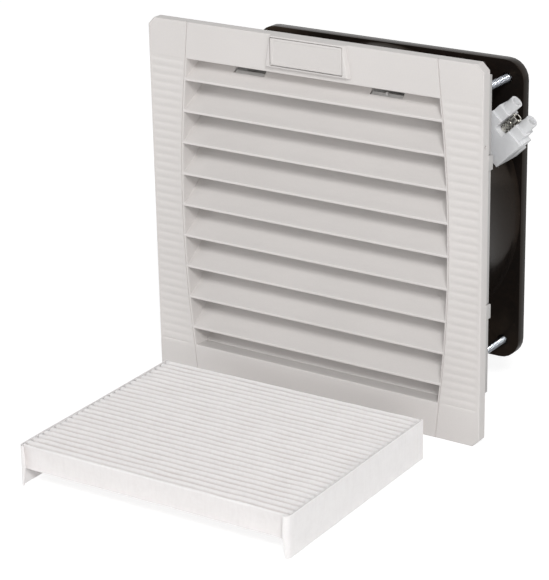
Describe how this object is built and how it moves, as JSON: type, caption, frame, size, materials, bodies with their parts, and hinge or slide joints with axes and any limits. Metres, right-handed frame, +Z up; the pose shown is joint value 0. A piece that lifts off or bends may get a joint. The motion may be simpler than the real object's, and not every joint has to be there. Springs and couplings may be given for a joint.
{
  "type": "cabinet filter fan",
  "caption": "Square cabinet filter fan: louvred cover hinged on a snap-in base frame, axial fan with terminal block behind, pleated filter mat taken out.",
  "frame": {"origin": "centre of the 125 x 125 mm wall cut-out, in the plane of the wall's outer face, where the gasket seals", "axes": "+X to the right seen from outside the cabinet, +Y into the cabinet along the fan's axis, +Z up"},
  "size_m": [0.145, 0.1766, 0.145],
  "materials": {
    "cover_plastic": "fine satin moulding",
    "base_plastic": "satin moulding",
    "gasket_foam": "open foam",
    "fan_casting": "gloss black coating",
    "blade_plastic": "satin",
    "motor_steel": "plain",
    "bright_steel": "ground",
    "zinc_steel": "bright zinc plated",
    "winding_copper": "enamelled wire",
    "terminal_plastic": "pale translucent",
    "clamp_brass": "nickel plated, worn brass end",
    "filter_fleece": "white non-woven fleece"
  },
  "bodies": {
    "base": {"base_frame": "base_plastic", "panel_gasket": "gasket_foam", "fan_frame": "fan_casting", "bearing_front": "bright_steel", "bearing_rear": "bright_steel", "preload_washer": "bright_steel", "stator_core": "motor_steel", "stator_winding": "winding_copper", "finger_guard": "zinc_steel", "fan_screw_lower_left": "zinc_steel", "fan_screw_upper_left": "zinc_steel", "fan_screw_lower_right": "zinc_steel", "fan_screw_upper_right": "zinc_steel", "terminal_bracket": "terminal_plastic", "terminal_body": "terminal_plastic", "pole_clamp_upper": "clamp_brass", "pole_clamp_lower": "clamp_brass", "earth_clamp": "clamp_brass", "clamp_screw_upper": "zinc_steel", "clamp_screw_lower": "zinc_steel", "clamp_screw_earth": "zinc_steel"},
    "cover": {"front_grille": "cover_plastic", "badge_plate": "cover_plastic"},
    "left_latch": {"latch_left": "base_plastic"},
    "right_latch": {"latch_right": "base_plastic"},
    "clip_left_lower": {"panel_clip_left_lower": "base_plastic"},
    "clip_left_upper": {"panel_clip_left_upper": "base_plastic"},
    "clip_right_lower": {"panel_clip_right_lower": "base_plastic"},
    "clip_right_upper": {"panel_clip_right_upper": "base_plastic"},
    "rotor": {"impeller": "blade_plastic", "rotor_cup": "motor_steel", "rotor_shaft": "bright_steel", "shaft_clip": "bright_steel"},
    "filter_mat": {"filter_pleats": "filter_fleece", "filter_band_left": "filter_fleece", "filter_band_right": "filter_fleece"}
  },
  "joints": [
    {"name": "cover_tilt", "type": "hinge", "parent": "base", "child": "cover", "pos_m": [0, -0.0018, -0.0708], "axis": [1, 0, 0], "range_deg": [0, 42]},
    {"name": "latch_left_press", "type": "hinge", "parent": "cover", "child": "left_latch", "pos_m": [-0.03, 0.0021, 0.05215], "axis": [-1, 0, 0], "range_deg": [0, 5], "stiffness_Nm_per_rad": 0.05},
    {"name": "latch_right_press", "type": "hinge", "parent": "cover", "child": "right_latch", "pos_m": [0.03, 0.0021, 0.05215], "axis": [-1, 0, 0], "range_deg": [0, 5], "stiffness_Nm_per_rad": 0.05},
    {"name": "clip_left_lower_flex", "type": "hinge", "parent": "base", "child": "clip_left_lower", "pos_m": [-0.06078, 0.0195, -0.029], "axis": [0, 0, 1], "range_deg": [0, 3], "stiffness_Nm_per_rad": 0.1},
    {"name": "clip_left_upper_flex", "type": "hinge", "parent": "base", "child": "clip_left_upper", "pos_m": [-0.06078, 0.0195, 0.029], "axis": [0, 0, 1], "range_deg": [0, 3], "stiffness_Nm_per_rad": 0.1},
    {"name": "clip_right_lower_flex", "type": "hinge", "parent": "base", "child": "clip_right_lower", "pos_m": [0.06078, 0.0195, -0.029], "axis": [0, 0, -1], "range_deg": [0, 3], "stiffness_Nm_per_rad": 0.1},
    {"name": "clip_right_upper_flex", "type": "hinge", "parent": "base", "child": "clip_right_upper", "pos_m": [0.06078, 0.0195, 0.029], "axis": [0, 0, -1], "range_deg": [0, 3], "stiffness_Nm_per_rad": 0.1},
    {"name": "fan_spin", "type": "hinge", "parent": "base", "child": "rotor", "pos_m": [0, 0.0348, 0], "axis": [0, 1, 0], "continuous": true},
    {"name": "filter_slide", "type": "slide", "parent": "base", "child": "filter_mat", "axis": [0, -1, 0], "range_m": [0, 0.08]}
  ]
}
